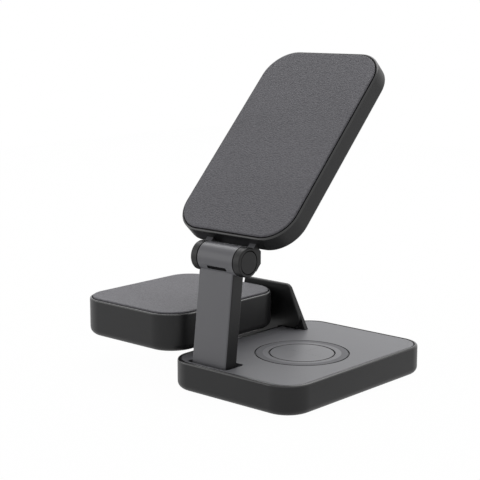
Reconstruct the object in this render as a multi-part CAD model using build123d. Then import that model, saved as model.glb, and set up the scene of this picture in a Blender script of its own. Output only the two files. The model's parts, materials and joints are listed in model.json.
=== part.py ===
from build123d import *
import os
from math import cos, radians, sin, sqrt, tan

# A desk stand that charges a watch on its base, a phone on a tilting pad and earbuds on a side pad.
# Millimetres. +Z is up, +Y points to the back, and the origin is the middle of the underside.

# Fits
slip = 0.05             # turning pin in its bore, on the radius
snug = 0.02             # fixed pin or screw in its hole, on the radius
face_gap = 0.05         # flat faces that slide on each other
part_gap = 0.3          # pieces that pass beside each other

# Screws, all of one size
screw_shank = 1.0
screw_head = 1.9
screw_head_high = 1.1
screw_drive = 0.75
screw_bite = 4.0        # thread held in a boss

# Base
base_width = 75.0
base_depth = 103.6
base_corner = 13.0
base_wall = 3.6
base_rim = 1.4
base_floor = 2.3
base_bottom_round = 3.2
base_rim_round = 1.0
foot_thick = 1.0
foot_standing = 0.5
foot_inset = 5.0
cover_thick = 2.3
cover_groove = 0.45
cover_rise = 0.35       # above the rim
cover_round = 0.4
boss_radius = 3.0
boss_inset = 2.0

# Watch place on the base
watch_x = 3.5
watch_y = -2.7
watch_radius = 22.0
watch_step_radius = 18.45
watch_disc_radius = 15.4
watch_deep = 0.9
watch_slope = 0.35
watch_line = 0.5
base_coil_inner = 6.0
base_coil_outer = 14.0
base_coil_thick = 1.2
base_shield_radius = 15.0
base_shield_thick = 0.7

# Board, inlet and ballast in the base
board_width = 40.0
board_depth = 18.0
board_thick = 1.2
board_post = 1.4
board_post_radius = 2.2
board_hole_inset = 3.2
usb_width = 8.94
usb_high = 3.26
usb_deep = 8.8
usb_sheet = 0.3
usb_back = 0.8
usb_sink = 0.3
usb_tongue_width = 6.7
usb_tongue_thick = 0.7
usb_tongue_sink = 2.0
ballast_thick = 2.6
ballast_gap = 1.5

# Arm
arm_from_side = 22.55   # base's left side to the arm's middle
arm_width = 20.9
arm_thick = 7.5
arm_length = 55.1       # lower pin to barrel axis
arm_lean = 6.8          # back from vertical, degrees
arm_fore = 8.0          # travel forwards, degrees
arm_aft = 16.0          # travel backwards, degrees
arm_side_wall = 1.6
arm_front_wall = 1.4
arm_edge_round = 0.9
arm_back_thick = 1.4
spine_thick = 3.2
knuckle_clear = 0.9
arm_pin_radius = 1.6
slot_clear = 0.9
slot_side = 1.8
slot_lip = 1.1
slot_round = 2.0
block_width = 4.0
block_reach = 8.0
lens_shift = 1.7        # right of the arm's middle
lens_drop = 4.25        # below the barrel's axis
lens_width = 11.5
lens_high = 1.4
lens_deep = 1.75
lens_sink = 0.75

# Barrel hinge of the phone pad
barrel_radius = 6.8
barrel_shift = 1.25     # arm's middle to the barrel's
knuckle_length = 21.2
collar_thick = 3.7
washer_thick = 0.4
hinge_pin_radius = 2.5
cap_radius = 5.2
collar_round = 0.6
cap_thick = 1.0
cap_groove = 0.35
hinge_washer_radius = 5.4

# Phone pad
phone_width = 68.5
phone_length = 109.5
phone_thick = 9.1
phone_corner = 15.5
phone_lean = 43.8       # back from vertical, degrees
phone_clear = 2.0       # barrel to lower edge
phone_front = 6.2       # barrel axis to front face
phone_floor = 1.6
phone_back_round = 1.6
phone_rim_round = 0.7
fork_bar_deep = 9.0
fork_bar_thick = 2.2
fork_lug_thick = 3.2
fork_screw_x = 5.0
fork_screw_step = 8.0
phone_coil_up = 62.0
phone_coil_inner = 9.0
phone_coil_outer = 20.5
phone_coil_thick = 1.1
phone_shield_radius = 21.5
phone_shield_thick = 0.6
magnet_inner = 23.0
magnet_outer = 27.2
magnet_count = 16
magnet_gap = 0.8
phone_board_width = 40.0
phone_board_thick = 1.0
phone_board_post = 0.9
phone_board_gap = 1.8

# Rims and faces that both pads share
pad_wall = 3.4
pad_rim = 1.0
pad_rim_round = 0.7
pad_groove = 0.45
pad_cover = 1.4
face_sheet = 0.8
face_rise = 0.8         # above the rim
face_round = 0.5
pad_post_radius = 2.4
pad_post_inset = 8.5

# Side pad
side_width = 65.5
side_depth = 78.7
side_height = 18.1
side_corner = 14.5
side_floor = 2.2
side_bottom_round = 3.4
side_over = 2.9         # reach over the base's side
side_lift = 1.0         # above the base's cover
side_coil_inner = 8.0
side_coil_outer = 19.0
side_coil_thick = 1.3
side_shield_radius = 20.0
side_shield_thick = 0.8
side_board_width = 30.0
side_board_depth = 36.0
side_board_post = 2.0
side_board_in = 6.0

# Bracket and pivot of the side pad
bracket_setback = 22.7  # behind the front face, to the base's back
bracket_foot = 15.8     # reach over the base's side
bracket_slope = 9.7
bracket_reach = 12.6    # past the pivot
bracket_high = 22.2
bracket_foot_thick = 4.2
bracket_top_thick = 2.1
bracket_corner = 3.6
bracket_end_corner = 1.0
bracket_panel = 1.5     # front layer, rounded at its foot
bracket_panel_corner = 5.0
bracket_low = 3.0       # foot of the wing beside the base
bracket_flare = 6.5     # of the wing's foot, to the left
bracket_edge_round = 0.6
bracket_post_radius = 2.0
bracket_post_step = 5.0
pivot_inset = 13.5
pivot_gap = 0.5
pivot_radius = 3.0
pivot_inside = 26.0
pivot_web = 2.4
hub_radius = 6.0
hub_length = 11.0
inner_boss_radius = 4.6
inner_boss_length = 4.0
bush_wall = 1.2
nut_radius = 4.6
nut_thick = 2.2
pivot_washer_radius = 5.0
pivot_washer_thick = 0.6
nut_room = 1.0
pivot_cap_radius = 6.4
pivot_cap_thick = 0.6
pivot_hub_wall = 1.5
pivot_hub_lip = 0.3     # past the cap


def slab(width, depth, corner, z0, z1, x=0.0, y=0.0):
    return Pos(x, y, z0) * extrude(RectangleRounded(width, depth, corner), z1 - z0)


def block(x0, x1, y0, y1, z0, z1):
    middle = Pos((x0 + x1) / 2, (y0 + y1) / 2, (z0 + z1) / 2)
    return middle * Box(x1 - x0, y1 - y0, z1 - z0)


def rod_x(radius, x0, x1, y, z):
    return Pos(x0, y, z) * Rot(0, 90, 0) * extrude(Circle(radius), x1 - x0)


def rod_y(radius, y0, y1, x, z):
    return Pos(x, y0, z) * Rot(-90, 0, 0) * extrude(Circle(radius), y1 - y0)


def rod_z(radius, z0, z1, x=0.0, y=0.0):
    return Pos(x, y, z0) * extrude(Circle(radius), z1 - z0)


# Prisms along X and Y, from outlines given as (y, z) and (x, z) points
def prism_x(points, x0, x1):
    return Pos(x0, 0, 0) * (Plane.YZ * extrude(make_face(Polyline(*points, close=True)), x1 - x0))


def prism_y(points, y0, y1):
    return Pos(0, y1, 0) * (Plane.XZ * extrude(make_face(Polyline(*points, close=True)), y1 - y0))


def washer_z(inner, outer, z0, z1, x=0.0, y=0.0):
    return rod_z(outer, z0, z1, x, y) - rod_z(inner, z0, z1, x, y)


# Open tray with a ledge for its cover. The wall is thick below the seat and thin above it.
def tray(width, depth, corner, z0, z1, floor, seat, walls, rounds, x=0.0, y=0.0):
    wall, rim = walls
    body = slab(width, depth, corner, z0, z1, x, y)
    body = fillet(body.faces().sort_by(Axis.Z)[0].edges(), rounds[0])
    body = fillet(body.faces().sort_by(Axis.Z)[-1].edges(), rounds[1])
    body -= slab(width - 2 * wall, depth - 2 * wall, corner - wall, z0 + floor, z1 + wall, x, y)
    body -= slab(width - 2 * rim, depth - 2 * rim, corner - rim, seat, z1 + rim, x, y)
    return body


# Sheet that fills a tray's mouth up to the groove, with a softened upper edge.
def lid(width, depth, corner, z0, z1, inset, edge, x=0.0, y=0.0):
    body = slab(width - 2 * inset, depth - 2 * inset, corner - inset, z0, z1, x, y)
    if edge > 0:
        body = fillet(body.faces().sort_by(Axis.Z)[-1].edges(), edge)
    return body


# A screw points down, with the top of its head at the origin.
def screw_shape(length, sunk, grow, tip):
    shank = rod_z(screw_shank + grow, -screw_head_high - length - tip, -screw_head_high / 2)
    if sunk:
        cone = Cone(screw_shank + grow, screw_head + grow, screw_head_high)
        head = Pos(0, 0, -screw_head_high / 2) * cone
    else:
        head = rod_z(screw_head + grow, -screw_head_high, 0)
    return head + shank


def screw(length, sunk=False):
    drive = extrude(RegularPolygon(screw_drive, 6), screw_head_high / 2)
    return screw_shape(length, sunk, 0, 0) - Pos(0, 0, -screw_head_high / 2) * drive


def screw_hole(length, sunk=False):
    return screw_shape(length, sunk, snug, part_gap)


# Board with a few components on its upper face, on holes at its corners.
def circuit_board(width, depth, thick, tall):
    board = block(-width / 2, width / 2, -depth / 2, depth / 2, 0, thick)
    chip = block(-width * 0.12, width * 0.12, -depth * 0.2, depth * 0.2, thick, thick + 0.45 * tall)
    driver = block(-width * 0.36, -width * 0.2, -depth * 0.3, depth * 0.05, thick, thick + 0.6 * tall)
    choke = rod_z(min(width, depth) * 0.14, thick, thick + tall, width * 0.28, 0)
    return board + chip + driver + choke


def corners(width, depth, inset):
    x = width / 2 - inset
    y = depth / 2 - inset
    return [(-x, -y), (x, -y), (-x, y), (x, y)]


parts = {}

# Heights in the base follow from the arm's lower knuckle, which lies between floor and cover.
shell_z0 = foot_standing
floor_z = shell_z0 + base_floor
hinge_room = arm_thick + 2 * knuckle_clear
cover_z0 = floor_z + hinge_room
cover_top = cover_z0 + cover_thick
base_top = cover_top - cover_rise
pin_z = floor_z + hinge_room / 2
bracket_z0 = cover_top + face_gap

# The slot is as long as the arm's travel needs, and the pin lies that far behind the cover's front lip.
lean_fore = radians(arm_lean - arm_fore)
lean_aft = radians(arm_lean + arm_aft)
half_arm = arm_thick / 2
cover_rises = (cover_z0 - pin_z, cover_top - pin_z)
shift_fore = max(-rise * tan(lean_fore) for rise in cover_rises)
shift_aft = max(rise * tan(lean_aft) for rise in cover_rises)
reach_fore = half_arm / cos(lean_fore) + shift_fore + slot_clear
reach_aft = half_arm / cos(lean_aft) + shift_aft + slot_clear
pin_y = -base_depth / 2 + base_rim + cover_groove + slot_lip + reach_fore
slot_front = pin_y - reach_fore
slot_back = pin_y + reach_aft

# Places of the arm, the cover's bosses, the bracket's posts and the board
arm_x = -base_width / 2 + arm_from_side
inner_x = base_width / 2 - base_wall
inner_y = base_depth / 2 - base_wall
boss_x = inner_x - boss_radius - boss_inset
boss_y = inner_y - boss_radius - 2 * boss_inset
bracket_y0 = base_depth / 2 - bracket_setback
bracket_y1 = bracket_y0 + bracket_foot_thick
bosses = [
    (boss_x, -boss_y),
    (boss_x, boss_y),
    (-boss_x, slot_back + boss_radius + boss_inset),
    (-boss_x, bracket_y0 - boss_radius - boss_inset),
]
bracket_right = -base_width / 2 + bracket_foot
post_y = (bracket_y0 + bracket_y1) / 2
post_x = bracket_right - bracket_corner - bracket_post_radius
posts = [(post_x, post_y), (post_x - bracket_post_step, post_y)]
board_y = inner_y - part_gap - board_depth / 2
board_z = floor_z + board_post
board_holes = [(x, board_y + y) for x, y in corners(board_width, board_depth, board_hole_inset)]
usb_z = board_z + board_thick + usb_high / 2
usb_y1 = base_depth / 2 - usb_sink
usb_y0 = usb_y1 - usb_deep

# Base shell with its foot sheet
under = Rot(180, 0, 0)
cover_screw_length = floor_z - foot_thick - screw_head_high + screw_bite
bracket_screw_length = bracket_z0 - foot_thick - screw_head_high + screw_bite
shell = tray(base_width, base_depth, base_corner, shell_z0, base_top, base_floor, cover_z0,
             (base_wall, base_rim), (base_bottom_round, base_rim_round))
foot_width = base_width - 2 * foot_inset
foot_depth = base_depth - 2 * foot_inset
foot_corner = base_corner - foot_inset
shell -= slab(foot_width + 2 * snug, foot_depth + 2 * snug, foot_corner + snug, 0, foot_thick)
for x, y in posts:
    shell += rod_z(bracket_post_radius, floor_z - base_floor / 4, bracket_z0, x, y)
for x, y in board_holes:
    shell += rod_z(board_post_radius, floor_z - base_floor / 4, board_z, x, y)
board_screw_length = board_thick + board_post + base_floor / 4
for x, y in board_holes:
    shell -= Pos(x, y, board_z + board_thick + screw_head_high) * screw_hole(board_screw_length)
for x, y in bosses:
    shell -= Pos(x, y, foot_thick) * under * screw_hole(cover_screw_length)
for x, y in posts:
    shell -= Pos(x, y, foot_thick) * under * screw_hole(bracket_screw_length)
port = RectangleRounded(usb_width + 2 * part_gap, usb_high + 2 * part_gap, usb_high / 2 + part_gap / 2)
shell -= Pos(0, inner_y - base_wall, usb_z) * Rot(-90, 0, 0) * extrude(port, 3 * base_wall)

parts["base_foot_sheet"] = slab(foot_width, foot_depth, foot_corner, 0, foot_thick)

# Blocks that hold the arm's lower pin, one on each side of the arm
arm_left = arm_x - arm_width / 2
arm_right = arm_x + arm_width / 2
inner_room = slab(2 * (inner_x - part_gap), 2 * (inner_y - part_gap), base_corner - base_wall - part_gap,
                  floor_z, cover_z0 - part_gap)
block_spans = [
    (arm_left - part_gap - block_width, arm_left - part_gap),
    (arm_right + part_gap, arm_right + part_gap + block_width),
]
block_screw_y = pin_y + (arm_pin_radius + block_reach) / 2
block_screw_length = floor_z - foot_thick - screw_head_high + screw_bite
blocks = []
block_screws = []
for x0, x1 in block_spans:
    at = Pos((x0 + x1) / 2, block_screw_y, foot_thick) * under
    carrier = block(x0, x1, pin_y - block_reach, pin_y + block_reach, floor_z, cover_z0)
    carrier = carrier & inner_room
    carrier -= rod_x(arm_pin_radius + snug, x0, x1, pin_y, pin_z)
    carrier -= at * screw_hole(block_screw_length)
    shell -= at * screw_hole(block_screw_length)
    blocks.append(carrier)
    block_screws.append(at * screw(block_screw_length))
parts["base_shell"] = shell
parts["arm_hinge_blocks"] = Compound(children=blocks)
parts["arm_hinge_screws"] = Compound(children=block_screws)
parts["arm_hinge_pin"] = rod_x(arm_pin_radius, block_spans[0][0], block_spans[1][1], pin_y, pin_z)

# Top cover with the slot, the watch recess and the bosses below it
cover = lid(base_width, base_depth, base_corner, cover_z0, cover_top, base_rim + cover_groove, cover_round)
slot_width = arm_width + 2 * slot_side
slot_middle = (slot_front + slot_back) / 2
cover -= slab(slot_width, slot_back - slot_front, slot_round, cover_z0, cover_top, arm_x, slot_middle)
cover -= rod_z(watch_radius + watch_line / 2, cover_top - watch_deep, cover_top, watch_x, watch_y)
for x, y in posts:
    cover -= rod_z(bracket_post_radius + part_gap, cover_z0, cover_top, x, y)
for x, y in bosses:
    cover += rod_z(boss_radius, floor_z, cover_z0 + cover_thick / 4, x, y)
for x, y in bosses:
    cover -= Pos(x, y, foot_thick) * under * screw_hole(cover_screw_length)
parts["base_top_cover"] = cover
parts["base_cover_screws"] = Compound(
    children=[Pos(x, y, foot_thick) * under * screw(cover_screw_length) for x, y in bosses])

# Watch place: a band whose outer part slopes down, and a disc inside it
band_in = watch_disc_radius + watch_line / 2
band_out = watch_radius - watch_line / 2
band_z0 = cover_top - watch_deep
band_points = [
    (band_in, band_z0),
    (band_out, band_z0),
    (band_out, cover_top - watch_slope),
    (watch_step_radius, cover_top),
    (band_in, cover_top),
]
band_face = Plane.XZ * make_face(Polyline(*band_points, close=True))
parts["charge_ring"] = Pos(watch_x, watch_y, 0) * revolve(band_face, Axis.Z)
disc = rod_z(watch_disc_radius - watch_line / 2, band_z0, cover_top)
disc = fillet(disc.faces().sort_by(Axis.Z)[-1].edges(), watch_slope)
parts["charge_disc"] = Pos(watch_x, watch_y, 0) * disc
coil_z = cover_z0 - base_coil_thick
parts["base_coil"] = washer_z(base_coil_inner, base_coil_outer, coil_z, cover_z0, watch_x, watch_y)
parts["base_coil_shield"] = rod_z(base_shield_radius, coil_z - base_shield_thick, coil_z, watch_x, watch_y)

# Board, inlet and ballast
main_board = Pos(0, board_y, board_z) * circuit_board(board_width, board_depth, board_thick, usb_high)
usb_clear = block(-usb_width / 2 - part_gap, usb_width / 2 + part_gap, usb_y0 - part_gap, base_depth,
                  board_z + board_thick, base_top)
main_board -= usb_clear
board_screws = []
for x, y in board_holes:
    at = Pos(x, y, board_z + board_thick + screw_head_high)
    main_board -= at * screw_hole(board_screw_length)
    board_screws.append(at * screw(board_screw_length))
parts["base_board"] = main_board
parts["base_board_screws"] = Compound(children=board_screws)
usb_outer = RectangleRounded(usb_width, usb_high, usb_high / 2 - usb_sheet / 4)
usb_inner = RectangleRounded(usb_width - 2 * usb_sheet, usb_high - 2 * usb_sheet,
                             usb_high / 2 - 1.25 * usb_sheet)
usb_turn = Rot(-90, 0, 0)
usb = Pos(0, usb_y0, usb_z) * usb_turn * extrude(usb_outer, usb_deep)
usb -= Pos(0, usb_y0 + usb_back, usb_z) * usb_turn * extrude(usb_inner, usb_deep)
parts["usb_c_shell"] = usb
tongue_y1 = usb_y1 - usb_tongue_sink
parts["usb_c_tongue"] = block(-usb_tongue_width / 2, usb_tongue_width / 2, usb_y0 + usb_back, tongue_y1,
                              usb_z - usb_tongue_thick / 2, usb_z + usb_tongue_thick / 2)
ballast_y0 = pin_y + block_reach + ballast_gap
ballast_y1 = board_y - board_depth / 2 - ballast_gap
ballast = block(-inner_x + part_gap, inner_x - part_gap, ballast_y0, ballast_y1,
                floor_z, floor_z + ballast_thick)
for x, y in bosses:
    ballast -= rod_z(boss_radius + part_gap, floor_z, floor_z + ballast_thick, x, y)
for x, y in posts:
    ballast -= rod_z(bracket_post_radius + part_gap, floor_z, floor_z + ballast_thick, x, y)
parts["ballast_plate"] = ballast & inner_room

# The arm is drawn upright about its lower pin, then leaned back.
arm_place = Pos(arm_x, pin_y, pin_z) * Rot(-arm_lean, 0, 0)
half_width = arm_width / 2
arm_z0 = half_arm + part_gap
channel_top = arm_length - barrel_radius - arm_side_wall
channel_x = half_width - arm_side_wall
spine_y0 = -half_arm + arm_front_wall
spine_y1 = spine_y0 + spine_thick
back_y0 = half_arm - arm_back_thick
arm_shell = block(-half_width, half_width, -half_arm, half_arm, arm_z0, arm_length)
arm_shell = fillet(arm_shell.edges().filter_by(Axis.Z), arm_edge_round)
knuckle_x0 = barrel_shift - knuckle_length / 2
knuckle_x1 = barrel_shift + knuckle_length / 2
arm_shell += rod_x(barrel_radius, knuckle_x0, knuckle_x1, 0, arm_length)
arm_shell -= rod_x(barrel_radius + part_gap, -arm_width, knuckle_x0, 0, arm_length)
arm_shell -= block(-channel_x, channel_x, spine_y0, half_arm, arm_z0, channel_top)
arm_shell -= rod_x(hinge_pin_radius + slip, knuckle_x0, knuckle_x1, 0, arm_length)
lens_y = -sqrt(barrel_radius ** 2 - lens_drop ** 2)
lens_z = arm_length - lens_drop
lens_outline = RectangleRounded(lens_width, lens_high, lens_high * 0.45)
lens_slot = extrude(lens_outline, barrel_radius + lens_y + lens_deep)
arm_shell -= Pos(lens_shift, -barrel_radius, lens_z) * Rot(-90, 0, 0) * lens_slot
parts["arm_front_shell"] = arm_place * arm_shell
lens = extrude(lens_outline, lens_deep - lens_sink)
lens_at = Pos(lens_shift, lens_y + lens_sink, lens_z)
parts["indicator_lens"] = arm_place * lens_at * Rot(-90, 0, 0) * lens

spine = rod_x(half_arm, -half_width, half_width, 0, 0)
spine += block(-channel_x + snug, channel_x - snug, spine_y0, spine_y1, 0, channel_top - part_gap)
spine -= rod_x(arm_pin_radius + slip, -half_width, half_width, 0, 0)
back_cover = block(-channel_x + part_gap / 2, channel_x - part_gap / 2, back_y0, half_arm,
                   arm_z0, channel_top - part_gap)
back_screw_length = back_y0 + arm_back_thick - screw_head_high - spine_y1 + spine_thick * 0.7
back_screws = []
for z in (arm_length * 0.28, arm_length * 0.68):
    at = Pos(0, half_arm, z) * Rot(-90, 0, 0)
    back_cover += rod_y(boss_radius, spine_y1, half_arm - arm_back_thick / 2, 0, z)
    back_cover -= at * screw_hole(back_screw_length, True)
    spine -= at * screw_hole(back_screw_length, True)
    back_screws.append(at * screw(back_screw_length, True))
parts["arm_spine"] = arm_place * spine
parts["arm_back_cover"] = arm_place * back_cover
parts["arm_back_screws"] = arm_place * Compound(children=back_screws)

# The phone pad is drawn flat about the barrel axis, face up, then raised to its lean.
barrel_y = pin_y + arm_length * sin(radians(arm_lean))
barrel_z = pin_z + arm_length * cos(radians(arm_lean))
phone_place = Pos(arm_x, barrel_y, barrel_z) * Rot(90 - phone_lean, 0, 0)
hinge_shift = Pos(barrel_shift, 0, 0)
hinge_place = phone_place * hinge_shift
phone_y0 = barrel_radius + phone_clear
phone_y1 = phone_y0 + phone_length
phone_y = (phone_y0 + phone_y1) / 2
phone_back = phone_front - phone_thick
phone_floor_z = phone_back + phone_floor
phone_seat = phone_front + face_rise - face_sheet - pad_cover
phone_cover_top = phone_seat + pad_cover
collar_x0 = knuckle_length / 2 + washer_thick + 2 * face_gap
collar_x1 = collar_x0 + collar_thick
bar_y0 = phone_y0 + pad_wall + part_gap
bar_y1 = bar_y0 + fork_bar_deep
bar_z1 = phone_floor_z + fork_bar_thick
lug_z0 = phone_floor_z + part_gap / 2
lug_z1 = lug_z0 + fork_lug_thick
phone_posts = [(x, phone_y + y) for x, y in corners(phone_width, phone_length, pad_post_inset)]
fork_screw_y = (bar_y0 + bar_y1) / 2
fork_screw_far = fork_screw_x + fork_screw_step
fork_screw_xs = (-fork_screw_far, -fork_screw_x, fork_screw_x, fork_screw_far)
fork_screw_length = phone_floor - screw_head_high + fork_bar_thick * 0.8
cover_bite = phone_seat - phone_floor_z

rear = tray(phone_width, phone_length, phone_corner, phone_back, phone_front, phone_floor, phone_seat,
            (pad_wall, pad_rim), (phone_back_round, phone_rim_round), 0, phone_y)
face_inset = pad_rim + pad_groove
front = lid(phone_width, phone_length, phone_corner, phone_seat, phone_cover_top,
            face_inset, 0, 0, phone_y)
sheet = lid(phone_width, phone_length, phone_corner, phone_cover_top, phone_cover_top + face_sheet,
            face_inset, face_round, 0, phone_y)
for hand in (-1, 1):
    x0 = min(hand * (collar_x0 - part_gap), hand * (collar_x1 + part_gap))
    x1 = max(hand * (collar_x0 - part_gap), hand * (collar_x1 + part_gap))
    lug_gap = block(x0, x1, phone_y0 - pad_wall, bar_y0, lug_z0 - part_gap / 2, lug_z1 + part_gap / 2)
    rear -= hinge_shift * lug_gap
for x, y in phone_posts:
    rear += rod_z(pad_post_radius, phone_floor_z - phone_floor / 4, phone_seat, x, y)
phone_cover_screws = []
for x, y in phone_posts:
    at = Pos(x, y, phone_cover_top)
    rear -= at * screw_hole(cover_bite, True)
    front -= at * screw_hole(cover_bite, True)
    phone_cover_screws.append(at * screw(cover_bite, True))

# Fork: two collars with lugs that pass through the pad's lower wall to a bar inside it
ear = [
    (0, -barrel_radius),
    (phone_y0 / 2, -barrel_radius),
    (phone_y0 - part_gap, phone_back),
    (phone_y0 - part_gap, lug_z1),
    (0, lug_z1),
]
fork = block(-collar_x1, collar_x1, bar_y0, bar_y1, phone_floor_z, bar_z1)
for hand in (-1, 1):
    x0 = min(hand * collar_x0, hand * collar_x1)
    x1 = max(hand * collar_x0, hand * collar_x1)
    collar = rod_x(barrel_radius, x0, x1, 0, 0)
    outer_face = collar.faces().sort_by(Axis.X)[-1 if hand > 0 else 0]
    fork += fillet(outer_face.edges(), collar_round)
    fork += prism_x(ear, x0, x1)
    fork += block(x0, x1, 0, bar_y1, lug_z0, lug_z1)
for hand in (-1, 1):
    outer = min(hand * collar_x1, hand * (collar_x1 - cap_thick))
    fork -= rod_x(cap_radius + cap_groove, outer, outer + cap_thick, 0, 0)
pin_reach = collar_x1 - cap_thick
fork -= rod_x(hinge_pin_radius + snug, -pin_reach, pin_reach, 0, 0)
fork_screws = []
for x in fork_screw_xs:
    at = Pos(x, fork_screw_y, phone_back) * under
    rear -= hinge_shift * at * screw_hole(fork_screw_length, True)
    fork -= at * screw_hole(fork_screw_length, True)
    fork_screws.append(at * screw(fork_screw_length, True))
parts["phone_hinge_fork"] = hinge_place * fork
parts["phone_hinge_screws"] = hinge_place * Compound(children=fork_screws)
parts["phone_hinge_pin"] = hinge_place * rod_x(hinge_pin_radius, -pin_reach, pin_reach, 0, 0)
caps = [rod_x(cap_radius, pin_reach, collar_x1, 0, 0), rod_x(cap_radius, -collar_x1, -pin_reach, 0, 0)]
parts["hinge_end_caps"] = hinge_place * Compound(children=caps)
washer_x0 = knuckle_length / 2 + face_gap
washer_x1 = washer_x0 + washer_thick
washers = []
for x0, x1 in ((washer_x0, washer_x1), (-washer_x1, -washer_x0)):
    ring = rod_x(hinge_washer_radius, x0, x1, 0, 0) - rod_x(hinge_pin_radius + snug, x0, x1, 0, 0)
    washers.append(ring)
parts["hinge_washers"] = hinge_place * Compound(children=washers)

# Coil, magnets and shield hang under the phone pad's cover.
coil_y = phone_y0 + phone_coil_up
phone_coil_z = phone_seat - phone_coil_thick
coil = washer_z(phone_coil_inner, phone_coil_outer, phone_coil_z, phone_seat, 0, coil_y)
shield = rod_z(phone_shield_radius, phone_coil_z - phone_shield_thick, phone_coil_z, 0, coil_y)
magnets = washer_z(magnet_inner, magnet_outer, phone_coil_z, phone_seat)
for k in range(magnet_count):
    cut = block(0, magnet_outer + magnet_gap, -magnet_gap / 2, magnet_gap / 2, phone_coil_z, phone_seat)
    magnets -= Rot(0, 0, 360.0 * k / magnet_count) * cut
parts["phone_coil"] = phone_place * coil
parts["phone_coil_shield"] = phone_place * shield
parts["phone_magnets"] = phone_place * Pos(0, coil_y, 0) * magnets

# Board between the fork's bar and the magnets
phone_board_y0 = bar_y1 + phone_board_gap
phone_board_y1 = coil_y - magnet_outer - phone_board_gap
phone_board_deep = phone_board_y1 - phone_board_y0
phone_board_y = (phone_board_y0 + phone_board_y1) / 2
phone_board_z = phone_floor_z + phone_board_post
phone_board_tall = phone_seat - phone_board_z - phone_board_thick - part_gap
phone_board = circuit_board(phone_board_width, phone_board_deep, phone_board_thick, phone_board_tall)
phone_board = Pos(0, phone_board_y, phone_board_z) * phone_board
phone_board_bite = phone_board_thick + phone_board_post + phone_floor / 3
phone_board_holes = corners(phone_board_width, phone_board_deep, board_hole_inset)
phone_board_screws = []
for x, y in phone_board_holes:
    at = Pos(x, phone_board_y + y, phone_board_z + phone_board_thick + screw_head_high)
    rear += rod_z(board_post_radius, phone_floor_z - phone_floor / 4, phone_board_z, x, phone_board_y + y)
    rear -= at * screw_hole(phone_board_bite)
    phone_board -= at * screw_hole(phone_board_bite)
    phone_board_screws.append(at * screw(phone_board_bite))
parts["phone_board"] = phone_place * phone_board
parts["phone_board_screws"] = phone_place * Compound(children=phone_board_screws)
parts["phone_rear_shell"] = phone_place * rear
parts["phone_front_cover"] = phone_place * front
parts["phone_face_sheet"] = phone_place * sheet
parts["phone_cover_screws"] = phone_place * Compound(children=phone_cover_screws)

# Side pad, just above the base's side and level with the bracket's pivot
side_x1 = -base_width / 2 + side_over
side_x0 = side_x1 - side_width
side_y1 = bracket_y0 - pivot_gap
side_y0 = side_y1 - side_depth
side_x = (side_x0 + side_x1) / 2
side_y = (side_y0 + side_y1) / 2
side_z0 = cover_top + side_lift
side_z1 = side_z0 + side_height
side_floor_z = side_z0 + side_floor
side_seat = side_z1 + face_rise - face_sheet - pad_cover
side_cover_top = side_seat + pad_cover
pivot_x = side_x1 - pivot_inset
pivot_z = (side_z0 + side_z1) / 2
side = tray(side_width, side_depth, side_corner, side_z0, side_z1, side_floor, side_seat,
            (pad_wall, pad_rim), (side_bottom_round, pad_rim_round), side_x, side_y)
hub_y0 = side_y1 - hub_length
pivot_y0 = side_y1 - pivot_inside
side += rod_y(hub_radius, hub_y0, side_y1, pivot_x, pivot_z)
side += block(pivot_x - hub_radius / 2, pivot_x + hub_radius / 2, hub_y0, side_y1 - pad_wall / 2,
              side_floor_z - side_floor / 4, pivot_z)
side += rod_y(inner_boss_radius, pivot_y0, pivot_y0 + inner_boss_length, pivot_x, pivot_z)
side += block(pivot_x - inner_boss_radius / 2, pivot_x + inner_boss_radius / 2,
              pivot_y0, pivot_y0 + inner_boss_length, side_floor_z - side_floor / 4, pivot_z)
side_posts = [
    (side_x0 + pad_post_inset, side_y0 + pad_post_inset),
    (side_x1 - pad_post_inset, side_y0 + pad_post_inset),
    (side_x0 + pad_post_inset, side_y1 - pad_post_inset),
    (side_x1 - pad_wall - pad_post_radius + part_gap, hub_y0 - pad_post_radius - part_gap),
]
for x, y in side_posts:
    side += rod_z(pad_post_radius, side_floor_z - side_floor / 4, side_seat, x, y)
side_board_x = side_x0 + pad_wall + side_board_in + side_board_width / 2
side_board_z = side_floor_z + side_board_post
side_board = circuit_board(side_board_width, side_board_depth, board_thick, usb_high)
side_board = Pos(side_board_x, side_y, side_board_z) * side_board
side_board_bite = board_thick + side_board_post + side_floor / 3
side_board_screws = []
for x, y in corners(side_board_width, side_board_depth, board_hole_inset):
    hole_x = side_board_x + x
    hole_y = side_y + y
    at = Pos(hole_x, hole_y, side_board_z + board_thick + screw_head_high)
    side += rod_z(board_post_radius, side_floor_z - side_floor / 4, side_board_z, hole_x, hole_y)
    side -= at * screw_hole(side_board_bite)
    side_board -= at * screw_hole(side_board_bite)
    side_board_screws.append(at * screw(side_board_bite))
parts["side_board"] = side_board
parts["side_board_screws"] = Compound(children=side_board_screws)
side_cover = lid(side_width, side_depth, side_corner, side_seat, side_cover_top,
                 face_inset, 0, side_x, side_y)
side_screw_length = pad_cover - screw_head_high + screw_bite
side_cover_screws = []
for x, y in side_posts:
    at = Pos(x, y, side_cover_top)
    side -= at * screw_hole(side_screw_length, True)
    side_cover -= at * screw_hole(side_screw_length, True)
    side_cover_screws.append(at * screw(side_screw_length, True))
parts["side_cover"] = side_cover
parts["side_cover_screws"] = Compound(children=side_cover_screws)
parts["side_face_sheet"] = lid(side_width, side_depth, side_corner, side_cover_top,
                               side_cover_top + face_sheet, face_inset, face_round, side_x, side_y)
side_coil_z = side_seat - side_coil_thick
parts["side_coil"] = washer_z(side_coil_inner, side_coil_outer, side_coil_z, side_seat, side_x, side_y)
parts["side_coil_shield"] = rod_z(side_shield_radius, side_coil_z - side_shield_thick, side_coil_z,
                                  side_x, side_y)

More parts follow.
